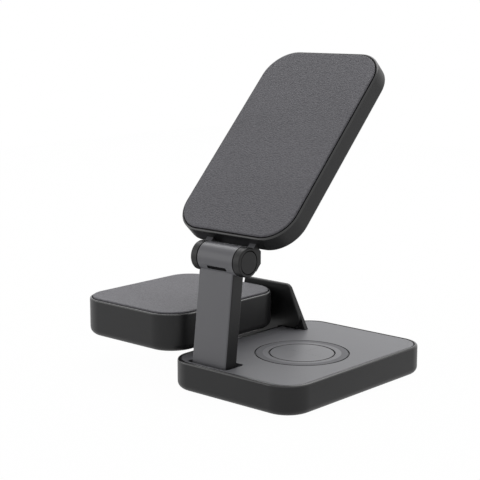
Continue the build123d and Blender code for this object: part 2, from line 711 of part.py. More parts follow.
# Pivot: the pin is fixed in the pad and turns in a flanged bush in the bracket, with a nut behind it.
web_y = bracket_y0 + pivot_web
nut_y0 = web_y + face_gap + pivot_washer_thick
nut_y1 = nut_y0 + nut_thick
cap_y0 = nut_y1 + part_gap
side -= rod_y(pivot_radius + snug, pivot_y0, side_y1, pivot_x, pivot_z)
parts["side_shell"] = side
parts["pivot_pin"] = rod_y(pivot_radius, pivot_y0, nut_y1, pivot_x, pivot_z)
washer = rod_y(pivot_washer_radius, web_y + face_gap, nut_y0, pivot_x, pivot_z)
parts["pivot_washer"] = washer - rod_y(pivot_radius + snug, web_y, nut_y0, pivot_x, pivot_z)
nut = Pos(pivot_x, nut_y0, pivot_z) * Rot(-90, 0, 0) * extrude(RegularPolygon(nut_radius, 6), nut_thick)
parts["pivot_nut"] = nut - rod_y(pivot_radius + snug, nut_y0, nut_y1, pivot_x, pivot_z)
bush_radius = pivot_radius + slip + bush_wall
bush = rod_y(hub_radius, side_y1 + face_gap, bracket_y0, pivot_x, pivot_z)
bush += rod_y(bush_radius, side_y1 + face_gap, web_y, pivot_x, pivot_z)
parts["pivot_bush"] = bush - rod_y(pivot_radius + slip, side_y1, web_y, pivot_x, pivot_z)
parts["pivot_cap"] = rod_y(pivot_cap_radius, cap_y0, cap_y0 + pivot_cap_thick, pivot_x, pivot_z)

# Bracket: a leaning-sided plate on the base that tapers towards its top, with a wing down the base's side
bracket_z1 = bracket_z0 + bracket_high
bracket_left = pivot_x - bracket_reach
wing_right = -base_width / 2 - part_gap
outline = [
    (bracket_left - bracket_flare, bracket_low),
    (wing_right, bracket_low),
    (wing_right, bracket_z0),
    (bracket_right, bracket_z0),
    (bracket_right - bracket_slope, bracket_z1),
    (bracket_left, bracket_z1),
]
taper = [
    (bracket_y1, bracket_z0),
    (bracket_y0 + bracket_top_thick, bracket_z1),
    (bracket_y1, bracket_z1),
]
hub_y1 = cap_y0 + pivot_cap_thick + pivot_hub_lip
panel_y = bracket_y0 + bracket_panel
panel = prism_y(outline, bracket_y0, panel_y)
panel = fillet(panel.edges().filter_by(Axis.Y).sort_by(Axis.X)[-1], bracket_panel_corner)
plate = panel + prism_y(outline, panel_y, bracket_y1)
top_ends = plate.faces().sort_by(Axis.Z)[-1].edges().filter_by(Axis.Y).sort_by(Axis.X)
plate = fillet(top_ends[-1], bracket_corner)
top_ends = plate.faces().sort_by(Axis.Z)[-1].edges().filter_by(Axis.Y).sort_by(Axis.X)
plate = fillet(top_ends[0], bracket_end_corner)
plate -= prism_x(taper, bracket_left - bracket_flare, bracket_right)
plate = fillet(plate.faces().sort_by(Axis.Y)[0].edges(), bracket_edge_round)
plate += rod_y(pivot_cap_radius + pivot_hub_wall, web_y, hub_y1, pivot_x, pivot_z)
plate -= rod_y(bush_radius + snug, bracket_y0, hub_y1, pivot_x, pivot_z)
plate -= rod_y(pivot_washer_radius + nut_room, web_y, hub_y1, pivot_x, pivot_z)
plate -= rod_y(pivot_cap_radius + snug, cap_y0, hub_y1, pivot_x, pivot_z)
bracket_screws = []
for x, y in posts:
    at = Pos(x, y, foot_thick) * under
    plate -= at * screw_hole(bracket_screw_length)
    bracket_screws.append(at * screw(bracket_screw_length))
parts["bracket_body"] = plate
parts["bracket_screws"] = Compound(children=bracket_screws)

os.makedirs("parts", exist_ok=True)
for name, piece in parts.items():
    export_step(piece, "parts/" + name + ".step")
print("joints: pin", round(pin_y, 3), round(pin_z, 3), "barrel", round(barrel_y, 3), round(barrel_z, 3),
      "pivot", round(pivot_x, 3), round(pivot_z, 3))
print("base top", round(base_top, 3), "slot", round(slot_front, 3), round(slot_back, 3))
print("nodes", len(parts))
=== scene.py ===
import json
import math

import bmesh
import bpy
from mathutils import Matrix, Vector


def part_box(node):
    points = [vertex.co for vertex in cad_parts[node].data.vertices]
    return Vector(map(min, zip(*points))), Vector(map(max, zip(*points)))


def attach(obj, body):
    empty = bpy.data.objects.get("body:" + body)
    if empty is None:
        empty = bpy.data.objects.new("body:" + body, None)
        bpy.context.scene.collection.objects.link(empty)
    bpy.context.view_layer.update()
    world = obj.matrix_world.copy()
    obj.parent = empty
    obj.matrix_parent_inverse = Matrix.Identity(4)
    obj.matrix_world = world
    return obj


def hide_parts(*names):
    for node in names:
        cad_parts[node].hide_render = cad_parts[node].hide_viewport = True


mm = 0.001
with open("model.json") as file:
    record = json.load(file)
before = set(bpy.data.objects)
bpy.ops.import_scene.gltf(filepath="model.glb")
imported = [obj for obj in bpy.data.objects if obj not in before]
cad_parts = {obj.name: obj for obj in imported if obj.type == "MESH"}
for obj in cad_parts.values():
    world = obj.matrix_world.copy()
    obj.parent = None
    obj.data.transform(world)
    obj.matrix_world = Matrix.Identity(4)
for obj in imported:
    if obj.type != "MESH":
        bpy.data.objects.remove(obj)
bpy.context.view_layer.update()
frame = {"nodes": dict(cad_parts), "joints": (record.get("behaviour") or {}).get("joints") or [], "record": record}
nodes = frame["nodes"]
mounts = {mount["name"]: mount for mount in frame["record"]["mounts"]}
joints = {joint["name"]: joint for joint in frame["joints"]}
scene = bpy.context.scene
print("frame loaded:", len(nodes), "nodes")


# Small tools

def linear(hexColour):
    channels = [int(hexColour[k:k + 2], 16) / 255 for k in (1, 3, 5)]
    return [c / 12.92 if c <= 0.04045 else ((c + 0.055) / 1.055) ** 2.4 for c in channels] + [1.0]


def addNode(tree, kind, links=None, values=None, **settings):
    node = tree.nodes.new(kind)
    for key, value in settings.items():
        setattr(node, key, value)
    for socket, value in (values or {}).items():
        node.inputs[socket].default_value = value
    for socket, source in (links or {}).items():
        tree.links.new(source, node.inputs[socket])
    return node


def addObject(name, mesh):
    piece = bpy.data.objects.new(name, mesh)
    scene.collection.objects.link(piece)
    return piece


# The finished mesh of an object with its modifiers, as a plain object in its stead
def bake(piece):
    bpy.context.view_layer.update()
    solved = piece.evaluated_get(bpy.context.evaluated_depsgraph_get())
    mesh = bpy.data.meshes.new_from_object(solved)
    name = piece.name
    bpy.data.objects.remove(piece)
    return addObject(name, mesh)


def setInput(modifier, name, value):
    for item in modifier.node_group.interface.items_tree:
        if item.item_type == "SOCKET" and item.in_out == "INPUT" and item.name == name:
            modifier[item.identifier] = value


# Lowest and highest corner of a node, seen in a piece's own frame
def localBox(nodeName, place):
    back = place.inverted()
    points = [back @ v.co for v in nodes[nodeName].data.vertices]
    low = Vector([min(p[k] for p in points) for k in range(3)])
    high = Vector([max(p[k] for p in points) for k in range(3)])
    return low, high


# Middles of a node's separate solids, seen in a piece's own frame
def solidMiddles(nodeName, place):
    bm = bmesh.new()
    bm.from_mesh(nodes[nodeName].data)
    bmesh.ops.remove_doubles(bm, verts=bm.verts, dist=0.001 * mm)
    back = place.inverted()
    waiting = set(bm.verts)
    middles = []
    while waiting:
        front = [waiting.pop()]
        island = []
        while front:
            vert = front.pop()
            island.append(back @ vert.co)
            for edge in vert.link_edges:
                other = edge.other_vert(vert)
                if other in waiting:
                    waiting.remove(other)
                    front.append(other)
        low = Vector([min(p[k] for p in island) for k in range(3)])
        high = Vector([max(p[k] for p in island) for k in range(3)])
        middles.append((low + high) / 2)
    bm.free()
    return sorted(middles, key=lambda p: (p.x, p.y))


# Soft shading with crisp edges, and large faces that stay flat
def smoothShade(piece, angle):
    mesh = piece.data
    mesh.polygons.foreach_set("use_smooth", [True] * len(mesh.polygons))
    mesh.set_sharp_from_angle(angle=math.radians(angle))
    weighted = piece.modifiers.new("flatFaces", "WEIGHTED_NORMAL")
    weighted.keep_sharp = True
    weighted.weight = 80
    return bake(piece)


# Frames of the pieces that stand at an angle, from the joints and the phone face's direction
basePlace = Matrix.Identity(4)
armFoot = Vector(joints["arm_tilt"]["pos_m"])
armHead = Vector(joints["phone_tilt"]["pos_m"])
armLean = math.atan2(armHead.y - armFoot.y, armHead.z - armFoot.z)
armPlace = Matrix.Translation(armFoot) @ Matrix.Rotation(-armLean, 4, "X")
phoneAxis = Vector(mounts["phone_face"]["axis"])
phoneTurn = math.atan2(-phoneAxis.y, phoneAxis.z)
phonePlace = Matrix.Translation(armHead) @ Matrix.Rotation(phoneTurn, 4, "X")


# Materials

def startMaterial(name):
    material = bpy.data.materials.new(name)
    material.use_nodes = True
    tree = material.node_tree
    place = addNode(tree, "ShaderNodeTexCoord").outputs["Object"]
    return material, tree, tree.nodes["Principled BSDF"], place


# Moulded plastic and rubber: a fine grit from the tool, a faint cloud in the tone, an even satin
def mouldedSkin(settings):
    material, tree, shader, place = startMaterial(settings["name"])
    grit = addNode(tree, "ShaderNodeTexNoise", links={"Vector": place},
                   values={"Scale": 1 / (settings["gritMm"] * mm), "Detail": 3.0, "Roughness": 0.6})
    cloud = addNode(tree, "ShaderNodeTexNoise", links={"Vector": place},
                    values={"Scale": 1 / (settings["cloudMm"] * mm), "Detail": 2.0})
    tone = addNode(tree, "ShaderNodeValToRGB", links={"Fac": cloud.outputs["Fac"]})
    tone.color_ramp.elements[0].position = 0.3
    tone.color_ramp.elements[0].color = linear(settings["dark"])
    tone.color_ramp.elements[1].position = 0.7
    tone.color_ramp.elements[1].color = linear(settings["light"])
    polish = addNode(tree, "ShaderNodeMapRange", links={"Value": grit.outputs["Fac"]},
                     values={"From Min": 0.3, "From Max": 0.7,
                             "To Min": settings["rough"][0], "To Max": settings["rough"][1]})
    relief = addNode(tree, "ShaderNodeBump", links={"Height": grit.outputs["Fac"]},
                     values={"Strength": settings["relief"], "Distance": settings["gritDeepMm"] * mm})
    tree.links.new(tone.outputs["Color"], shader.inputs["Base Color"])
    tree.links.new(polish.outputs["Result"], shader.inputs["Roughness"])
    tree.links.new(relief.outputs["Normal"], shader.inputs["Normal"])
    shader.inputs["Specular IOR Level"].default_value = settings["shine"]
    return material


# Embossed PU leather: pebbles with fine creases between them, matt tops, and valleys painted slightly darker as
# painted shade in the creases
def pebbledLeather(settings):
    material, tree, shader, flat = startMaterial(settings["name"])
    place = addNode(tree, "ShaderNodeMapping", links={"Vector": flat},
                    values={"Scale": settings["stretch"]}).outputs["Vector"]
    drift = addNode(tree, "ShaderNodeTexNoise", links={"Vector": place},
                    values={"Scale": 1 / (settings["driftMm"] * mm), "Detail": 2.0})
    warp = addNode(tree, "ShaderNodeVectorMath", operation="MULTIPLY_ADD",
                   links={0: drift.outputs["Color"], 2: place},
                   values={1: [settings["pebbleMm"] * mm] * 3})
    pebble = addNode(tree, "ShaderNodeTexVoronoi", feature="SMOOTH_F1",
                     links={"Vector": warp.outputs["Vector"]},
                     values={"Scale": 1 / (settings["pebbleMm"] * mm), "Smoothness": 0.6, "Randomness": 1.0})
    pore = addNode(tree, "ShaderNodeTexNoise", links={"Vector": place},
                   values={"Scale": 1 / (settings["poreMm"] * mm), "Detail": 4.0, "Roughness": 0.65})
    height = addNode(tree, "ShaderNodeMix", data_type="FLOAT",
                     links={"A": pebble.outputs["Distance"], "B": pore.outputs["Fac"]},
                     values={"Factor": settings["poreShare"]})
    tone = addNode(tree, "ShaderNodeValToRGB", links={"Fac": height.outputs["Result"]})
    tone.color_ramp.elements[0].position = 0.2
    tone.color_ramp.elements[0].color = linear(settings["top"])
    tone.color_ramp.elements[1].position = 0.75
    tone.color_ramp.elements[1].color = linear(settings["crease"])
    cloud = addNode(tree, "ShaderNodeTexNoise", links={"Vector": place},
                    values={"Scale": 1 / (settings["cloudMm"] * mm), "Detail": 2.0})
    shade = addNode(tree, "ShaderNodeMapRange", links={"Value": cloud.outputs["Fac"]},
                    values={"From Min": 0.3, "From Max": 0.7, "To Min": 0.93, "To Max": 1.07})
    colour = addNode(tree, "ShaderNodeVectorMath", operation="SCALE",
                     links={0: tone.outputs["Color"], "Scale": shade.outputs["Result"]})
    relief = addNode(tree, "ShaderNodeBump", invert=True, links={"Height": height.outputs["Result"]},
                     values={"Strength": settings["relief"], "Distance": settings["deepMm"] * mm})
    tree.links.new(colour.outputs["Vector"], shader.inputs["Base Color"])
    tree.links.new(relief.outputs["Normal"], shader.inputs["Normal"])
    shader.inputs["Roughness"].default_value = settings["rough"]
    shader.inputs["Specular IOR Level"].default_value = settings["shine"]
    shader.inputs["Sheen Weight"].default_value = settings["sheen"]
    shader.inputs["Sheen Roughness"].default_value = 0.5
    return material


# Drawn or turned metal: long fine lines along one direction that vary the polish
def drawnMetal(settings):
    material, tree, shader, place = startMaterial(settings["name"])
    stretch = addNode(tree, "ShaderNodeMapping", links={"Vector": place}, values={"Scale": settings["stretch"]})
    lines = addNode(tree, "ShaderNodeTexNoise", links={"Vector": stretch.outputs["Vector"]},
                    values={"Scale": 1 / (settings["lineMm"] * mm), "Detail": 3.0})
    polish = addNode(tree, "ShaderNodeMapRange", links={"Value": lines.outputs["Fac"]},
                     values={"To Min": settings["rough"][0], "To Max": settings["rough"][1]})
    tone = addNode(tree, "ShaderNodeValToRGB", links={"Fac": lines.outputs["Fac"]})
    tone.color_ramp.elements[0].color = linear(settings["dark"])
    tone.color_ramp.elements[1].color = linear(settings["light"])
    tree.links.new(tone.outputs["Color"], shader.inputs["Base Color"])
    tree.links.new(polish.outputs["Result"], shader.inputs["Roughness"])
    shader.inputs["Metallic"].default_value = 1.0
    return material


# Flat coil of enamelled wire: rings round the coil's middle, with painted highlight on the crowns of the turns and
# painted shade between them
def woundCopper(name, middle, turn):
    wire = {"pitchMm": 0.6, "dark": "#6E3216", "light": "#C9783F"}
    material, tree, shader, place = startMaterial(name)
    centred = addNode(tree, "ShaderNodeMapping", vector_type="TEXTURE", links={"Vector": place},
                      values={"Location": middle, "Rotation": turn})
    rings = addNode(tree, "ShaderNodeTexWave", wave_type="RINGS", rings_direction="Z",
                    links={"Vector": centred.outputs["Vector"]},
                    values={"Scale": math.tau / 20 / (wire["pitchMm"] * mm), "Distortion": 0.0})
    tone = addNode(tree, "ShaderNodeValToRGB", links={"Fac": rings.outputs["Fac"]})
    tone.color_ramp.elements[0].color = linear(wire["dark"])
    tone.color_ramp.elements[1].color = linear(wire["light"])
    relief = addNode(tree, "ShaderNodeBump", links={"Height": rings.outputs["Fac"]},
                     values={"Strength": 0.6, "Distance": 0.2 * wire["pitchMm"] * mm})
    tree.links.new(tone.outputs["Color"], shader.inputs["Base Color"])
    tree.links.new(relief.outputs["Normal"], shader.inputs["Normal"])
    shader.inputs["Metallic"].default_value = 1.0
    shader.inputs["Roughness"].default_value = 0.35
    return material


# Circuit board: green solder mask with lighter tracks under it
def solderMask():
    mask = {"name": "solderMask", "trackMm": 2.2, "track": "#2E7A4C", "ground": "#114A2C"}
    material, tree, shader, place = startMaterial(mask["name"])
    tracks = addNode(tree, "ShaderNodeTexVoronoi", feature="DISTANCE_TO_EDGE", distance="EUCLIDEAN",
                     links={"Vector": place}, values={"Scale": 1 / (mask["trackMm"] * mm)})
    tone = addNode(tree, "ShaderNodeValToRGB", links={"Fac": tracks.outputs["Distance"]})
    tone.color_ramp.elements[0].position = 0.06
    tone.color_ramp.elements[0].color = linear(mask["track"])
    tone.color_ramp.elements[1].position = 0.1
    tone.color_ramp.elements[1].color = linear(mask["ground"])
    tree.links.new(tone.outputs["Color"], shader.inputs["Base Color"])
    shader.inputs["Roughness"].default_value = 0.3
    return material


finishes = {
    # dark ABS from a spark-eroded tool, the grit drawn coarser than life so that it shows
    "shell": mouldedSkin({"name": "mouldedAbs", "dark": "#19191A", "light": "#1C1C1D", "rough": (0.38, 0.46),
                          "gritMm": 0.5, "gritDeepMm": 0.03, "relief": 0.10, "cloudMm": 22, "shine": 0.32}),
    # the shells' rims where the tool is polished, so that their lower roughness draws a thin bright line; their
    # tone, a little lighter than the shell, is painted highlight
    "rim": mouldedSkin({"name": "polishedAbsPaintedHighlight", "dark": "#1E1E1F", "light": "#212122", "rough": (0.16, 0.22),
                        "gritMm": 0.8, "gritDeepMm": 0.01, "relief": 0.03, "cloudMm": 22, "shine": 0.6}),
    # ABS under a grey satin lacquer, much lighter than the shells
    "deck": mouldedSkin({"name": "satinLacquer", "dark": "#69696D", "light": "#6C6C70", "rough": (0.38, 0.46),
                         "gritMm": 0.4, "gritDeepMm": 0.02, "relief": 0.08, "cloudMm": 30, "shine": 0.5}),
    # the same lacquer painted a deeper grey on the arm's front, its barrel and the lugs: a darker copy of the
    # deck's lacquer, as painted shade
    "arm": mouldedSkin({"name": "satinLacquerPaintedShade", "dark": "#59595D", "light": "#5C5C60",
                        "rough": (0.34, 0.40), "gritMm": 0.4, "gritDeepMm": 0.01, "relief": 0.05,
                        "cloudMm": 30, "shine": 0.5}),
    # the disc where the watch lies, same lacquer with a smoother face, painted a little lighter than the deck as
    # painted light
    "watch": mouldedSkin({"name": "smoothLacquerPaintedLight", "dark": "#6E6E72", "light": "#717175", "rough": (0.34, 0.42),
                          "gritMm": 0.4, "gritDeepMm": 0.01, "relief": 0.05, "cloudMm": 30, "shine": 0.5}),
    # soft silicone band round the watch place, darker and duller than the lacquer
    "band": mouldedSkin({"name": "greySilicone", "dark": "#5A5A5E", "light": "#5D5D61", "rough": (0.5, 0.6),
                         "gritMm": 0.5, "gritDeepMm": 0.02, "relief": 0.08, "cloudMm": 20, "shine": 0.35}),
    # black acetal of the bushes and blocks
    "acetal": mouldedSkin({"name": "blackAcetal", "dark": "#171718", "light": "#1B1B1C", "rough": (0.36, 0.46),
                           "gritMm": 0.6, "gritDeepMm": 0.01, "relief": 0.05, "cloudMm": 15, "shine": 0.5}),
    # silicone rubber sheet under the base
    "rubber": mouldedSkin({"name": "siliconeRubber", "dark": "#1A1A1B", "light": "#202021",
                           "rough": (0.72, 0.85), "gritMm": 0.7, "gritDeepMm": 0.04, "relief": 0.25,
                           "cloudMm": 12, "shine": 0.35}),
    # smoked acrylic of the indicator with a matt face, nearly black
    "lens": mouldedSkin({"name": "smokedAcrylic", "dark": "#030304", "light": "#050506", "rough": (0.4, 0.5),
                         "gritMm": 0.6, "gritDeepMm": 0.005, "relief": 0.05, "cloudMm": 8, "shine": 0.05}),
    # ferrite sheet behind the coils, dull and nearly black
    "ferrite": mouldedSkin({"name": "ferriteSheet", "dark": "#2A2826", "light": "#373431", "rough": (0.6, 0.75),
                            "gritMm": 0.5, "gritDeepMm": 0.03, "relief": 0.2, "cloudMm": 5, "shine": 0.4}),
    # pebbles below 1 mm, as the photo's grain reads
    "leather": pebbledLeather({"name": "puLeather", "top": "#6A696E", "crease": "#49484D", "rough": 0.62,
                               "pebbleMm": 0.5, "poreMm": 0.3, "poreShare": 0.4, "driftMm": 1.6,
                               "stretch": (0.5, 1.0, 1.0),
                               "deepMm": 0.3, "relief": 1.0, "cloudMm": 30, "shine": 0.4, "sheen": 0.05}),
    # bright drawn steel of pins, spine and ballast, with fine lines along X
    "steel": drawnMetal({"name": "drawnSteel", "dark": "#8E8F92", "light": "#C4C5C8", "rough": (0.28, 0.42),
                         "lineMm": 0.3, "stretch": (0.05, 1.0, 1.0)}),
    # black oxide on the screws, dark with a dull shine
    "screw": drawnMetal({"name": "blackOxideSteel", "dark": "#2B2B2D", "light": "#48484B",
                         "rough": (0.32, 0.45), "lineMm": 0.4, "stretch": (1.0, 1.0, 1.0)}),
    # nickel on the magnets, pale and smooth
    "nickel": drawnMetal({"name": "nickelPlate", "dark": "#A8A6A0", "light": "#CFCDC6", "rough": (0.18, 0.28),
                          "lineMm": 1.0, "stretch": (1.0, 1.0, 1.0)}),
    # green boards with paler tracks
    "board": solderMask(),
}
print("materials:", len(finishes))

# Every CAD node takes the finish of its slot in the record, and the coils then get their wire. Pieces made below
# stand for some of the nodes.
slotFinish = {
    "shell_plastic": "shell", "top_plastic": "deck", "disc_plastic": "watch", "inner_plastic": "acetal",
    "face_leather": "leather", "hinge_metal": "shell", "steel": "steel", "screw_steel": "screw",
    "foot_rubber": "rubber", "lens": "lens", "copper": "nickel", "ferrite": "ferrite",
    "magnet_nickel": "nickel", "board": "board",
}
for entry in frame["record"]["subparts"]:
    mesh = nodes[entry["node"]].data
    mesh.materials.clear()
    mesh.materials.append(finishes[slotFinish[entry["material_slot"]]])
for coil, tilt in (("base_coil", 0.0), ("side_coil", 0.0), ("phone_coil", phoneTurn)):
    low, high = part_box(coil)
    nodes[coil].data.materials[0] = woundCopper(coil + "_wire", (low + high) / 2, (tilt, 0.0, 0.0))


# Pieces that follow a rounded outline

# Points of an open or closed section, given as (inset, height, corner radius) in mm, with its corners rounded
def roundedSection(corners, closed, steps=6):
    points = []
    count = len(corners)
    for k, (inset, height, radius) in enumerate(corners):
        here = Vector((inset, height))
        isEnd = not closed and k in (0, count - 1)
        if radius <= 0 or isEnd:
            points.append(here)
            continue
        before = (Vector(corners[k - 1][:2]) - here).normalized()
        after = (Vector(corners[(k + 1) % count][:2]) - here).normalized()
        half = before.angle(after) / 2
        reach = radius / math.tan(half)
        middle = here + (before + after).normalized() * radius / math.sin(half)
        start = here + before * reach - middle
        sweep = start.angle_signed(here + after * reach - middle)
        for step in range(steps + 1):
            points.append(middle + Matrix.Rotation(-sweep * step / steps, 2) @ start)
    return points


# Tree: a section drawn as an edge path is carried round a rectangle with rounded corners
def outlineSweepTree():
    tree = bpy.data.node_groups.new("outlineSweep", "GeometryNodeTree")
    face = tree.interface
    face.new_socket("Section", in_out="INPUT", socket_type="NodeSocketGeometry")
    for name in ("Width", "Depth", "Corner"):
        face.new_socket(name, in_out="INPUT", socket_type="NodeSocketFloat")
    face.new_socket("Corner Steps", in_out="INPUT", socket_type="NodeSocketInt")
    face.new_socket("Skin", in_out="INPUT", socket_type="NodeSocketMaterial")
    face.new_socket("Mesh", in_out="OUTPUT", socket_type="NodeSocketGeometry")
    given = addNode(tree, "NodeGroupInput").outputs
    outline = addNode(tree, "GeometryNodeCurvePrimitiveQuadrilateral", mode="RECTANGLE",
                      links={"Width": given["Width"], "Height": given["Depth"]})
    path = addNode(tree, "GeometryNodeFilletCurve", mode="POLY",
                   links={"Curve": outline.outputs["Curve"], "Count": given["Corner Steps"],
                          "Radius": given["Corner"]})
    section = addNode(tree, "GeometryNodeMeshToCurve", links={"Mesh": given["Section"]})
    wall = addNode(tree, "GeometryNodeCurveToMesh",
                   links={"Curve": path.outputs["Curve"], "Profile Curve": section.outputs["Curve"]})
    whole = addNode(tree, "GeometryNodeRealizeInstances", links={"Geometry": wall.outputs["Mesh"]})
    dressed = addNode(tree, "GeometryNodeSetMaterial",
                      links={"Geometry": whole.outputs["Geometry"], "Material": given["Skin"]})
    addNode(tree, "NodeGroupOutput", links={"Mesh": dressed.outputs["Geometry"]})
    return tree


sweepTree = outlineSweepTree()
# A round piece's corner stays this much below half its width, in mm
roundSpare = 0.001


# One such piece: size is (width, depth, corner) in mm about its middle, and the place puts it in the frame
def sweptPiece(name, size, section, closed, skin, place, cornerSteps=20):
    points = [(-inset * mm, -height * mm, 0.0) for inset, height in section]
    edges = [(k, k + 1) for k in range(len(points) - 1)]
    if closed:
        edges.append((len(points) - 1, 0))
    mesh = bpy.data.meshes.new(name)
    mesh.from_pydata(points, edges, [])
    piece = addObject(name, mesh)
    sweep = piece.modifiers.new("outlineSweep", "NODES")
    sweep.node_group = sweepTree
    for key, value in zip(("Width", "Depth", "Corner"), size):
        setInput(sweep, key, value * mm)
    setInput(sweep, "Corner Steps", cornerSteps)
    setInput(sweep, "Skin", skin)
    piece = bake(piece)
    bm = bmesh.new()
    bm.from_mesh(piece.data)
    bmesh.ops.remove_doubles(bm, verts=bm.verts, dist=0.002 * mm)
    bmesh.ops.holes_fill(bm, edges=[e for e in bm.edges if e.is_boundary], sides=0)
    bmesh.ops.poke(bm, faces=[f for f in bm.faces if len(f.verts) > 4])
    bmesh.ops.recalc_face_normals(bm, faces=bm.faces)
    bmesh.ops.transform(bm, matrix=place, verts=bm.verts)
    bm.to_mesh(piece.data)
    bm.free()
    return piece


# Cuts or adds one piece with another, which is used up
def combine(piece, tool, operation):
    boolean = piece.modifiers.new(operation.lower(), "BOOLEAN")
    boolean.operation = operation
    boolean.solver = "EXACT"
    boolean.object = tool
    piece = bake(piece)
    bpy.data.objects.remove(tool)
    return piece


def standFor(piece, body, slotName, *nodeNames):
    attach(piece, body)
    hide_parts(*nodeNames)
    return piece


# Polishes the rounded top of a tray's rim; the rim finish's lighter tone is painted highlight
def polishRim(piece, nodeName, place, settings):
    low, high = localBox(nodeName, place)
    back = place.inverted()
    up = place.to_3x3().col[2]
    piece.data.materials.append(finishes["rim"])
    polished = len(piece.data.materials) - 1
    for face in piece.data.polygons:
        isHigh = (back @ face.center).z > high.z - settings["rimRound"] * mm
        if isHigh and face.normal.dot(up) > settings["rimFacing"]:
            face.material_index = polished


# Copy of a node with merged corners and narrow bevels on its crisp edges
def bevelledCopy(nodeName, name, settings, skin):
    bm = bmesh.new()
    bm.from_mesh(nodes[nodeName].data)
    bmesh.ops.remove_doubles(bm, verts=bm.verts, dist=0.001 * mm)
    bmesh.ops.dissolve_limit(bm, angle_limit=math.radians(0.3), verts=bm.verts, edges=bm.edges)
    mesh = bpy.data.meshes.new(name)
    bm.to_mesh(mesh)
    bm.free()
    mesh.materials.append(skin)
    piece = addObject(name, mesh)
    edge = piece.modifiers.new("edge", "BEVEL")
    edge.width = settings["edgeMm"] * mm
    edge.segments = settings["edgeSteps"]
    edge.limit_method = "ANGLE"
    edge.angle_limit = math.radians(settings["edgeAngle"])
    edge.use_clamp_overlap = settings["clamp"]
    piece = bake(piece)
    return smoothShade(piece, settings["shadeAngle"])


# Base tray

tray = {
    "corner": 13.0, "rim": 1.4, "wall": 3.6, "floor": 2.3, "seat": 1.95, "bottomRound": 3.2, "rimRound": 1.0,
    "lipRound": 0.2, "footInset": 5.0, "footDeep": 0.5, "inner": 12.0, "rimFacing": 0.15,
    "portClear": 0.3, "portInner": 0.2, "portEdge": 0.1, "portDeep": 6.0, "portOut": 1.0,
}


def makeBaseTray():
    low, high = localBox("base_shell", basePlace)
    bottom = low.z / mm
    top = high.z / mm
    seat = top - tray["seat"]
    floor = bottom + tray["floor"]
    section = roundedSection([
        (tray["inner"], bottom + tray["footDeep"], 0),
        (tray["footInset"], bottom + tray["footDeep"], 0),
        (tray["footInset"], bottom, 0),
        (0, bottom, tray["bottomRound"]),
        (0, top, tray["rimRound"]),
        (tray["rim"], top, tray["lipRound"]),
        (tray["rim"], seat, 0),
        (tray["wall"], seat, 0),
        (tray["wall"], floor, 0),
        (tray["inner"], floor, 0),
    ], closed=False)
    size = ((high.x - low.x) / mm, (high.y - low.y) / mm, tray["corner"])
    piece = sweptPiece("baseTray", size, section, False, finishes["shell"], basePlace)
    portLow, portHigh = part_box("usb_c_shell")
    clear = tray["portClear"]
    width = (portHigh.x - portLow.x) / mm + 2 * clear
    tall = (portHigh.z - portLow.z) / mm + 2 * clear
    middle = Vector(((portLow.x + portHigh.x) / 2, high.y, (portLow.z + portHigh.z) / 2))
    inner = tall / 2 - tray["portInner"]
    plug = roundedSection([
        (inner, -tray["portDeep"], 0), (0, -tray["portDeep"], 0),
        (0, tray["portOut"], 0), (inner, tray["portOut"], 0),
    ], closed=False)
    facing = Matrix.Translation(middle) @ Matrix.Rotation(math.radians(-90), 4, "X")
    size = (width, tall, tall / 2 - tray["portEdge"])
    cutter = sweptPiece("portCutter", size, plug, False, finishes["shell"], facing)
    piece = combine(piece, cutter, "DIFFERENCE")
    polishRim(piece, "base_shell", basePlace, tray)
    standFor(smoothShade(piece, 40), "base", "shell_plastic", "base_shell")


makeBaseTray()
print("base tray")


# Base deck with the arm's slot, and the watch place in it

deck = {"edgeMm": 0.25, "edgeSteps": 3, "edgeAngle": 50, "clamp": False, "shadeAngle": 35}
watch = {"bandEdge": 0.2, "discEdge": 0.35, "inner": 9.0, "bandFrom": 18.45, "gap": 0.5, "upward": 0.9,
         "cornerSteps": 28}


# Walls and bevels of the gaps round the watch place, every face there that doesn't face up, take the dark shell
# finish as painted shade in the gaps
def paintGapShade(piece, reach):
    low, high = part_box("charge_ring")
    middle = (low + high) / 2
    piece.data.materials.append(finishes["shell"])
    dark = len(piece.data.materials) - 1
    for face in piece.data.polygons:
        if face.normal.z < watch["upward"] and (face.center - middle).to_2d().length < reach * mm:
            face.material_index = dark


def makeDeck():
    low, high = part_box("charge_ring")
    piece = bevelledCopy("base_top_cover", "baseDeck", deck, finishes["deck"])
    paintGapShade(piece, (high.x - low.x) / 2 / mm + 2 * watch["gap"])
    standFor(piece, "base", "top_plastic", "base_top_cover")


def makeWatchPlace():
    low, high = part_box("charge_ring")
    discLow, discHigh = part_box("charge_disc")
    radius = (high.x - low.x) / 2 / mm
    discRadius = (discHigh.x - discLow.x) / 2 / mm
    middle = (low + high) / 2
    place = Matrix.Translation((middle.x, middle.y, 0))
    bottom = low.z / mm
    top = high.z / mm
    inside = radius - discRadius - watch["gap"]
    band = roundedSection([
        (0, bottom, 0), (0, top, watch["bandEdge"]), (radius - watch["bandFrom"], top, 0),
        (inside, top, watch["bandEdge"]), (inside, bottom, 0),
    ], closed=True)
    piece = sweptPiece("watchBand", (2 * radius, 2 * radius, radius - roundSpare), band, True, finishes["deck"],
                       place, watch["cornerSteps"])
    piece = smoothShade(piece, 20)
    piece.data.materials.append(finishes["band"])
    for face in piece.data.polygons:
        if (face.center - middle).to_2d().length > watch["bandFrom"] * mm:
            face.material_index = 1
    paintGapShade(piece, radius)
    standFor(piece, "base", "top_plastic", "charge_ring")
    disc = roundedSection([
        (watch["inner"], bottom, 0), (0, bottom, 0), (0, top, watch["discEdge"]), (watch["inner"], top, 0),
    ], closed=False)
    piece = sweptPiece("watchDisc", (2 * discRadius, 2 * discRadius, discRadius - roundSpare), disc, False,
                       finishes["watch"], place, watch["cornerSteps"])
    piece = smoothShade(piece, 40)
    paintGapShade(piece, radius)
    standFor(piece, "base", "disc_plastic", "charge_disc")


makeDeck()
makeWatchPlace()
print("deck and watch place")


# Arm and bracket

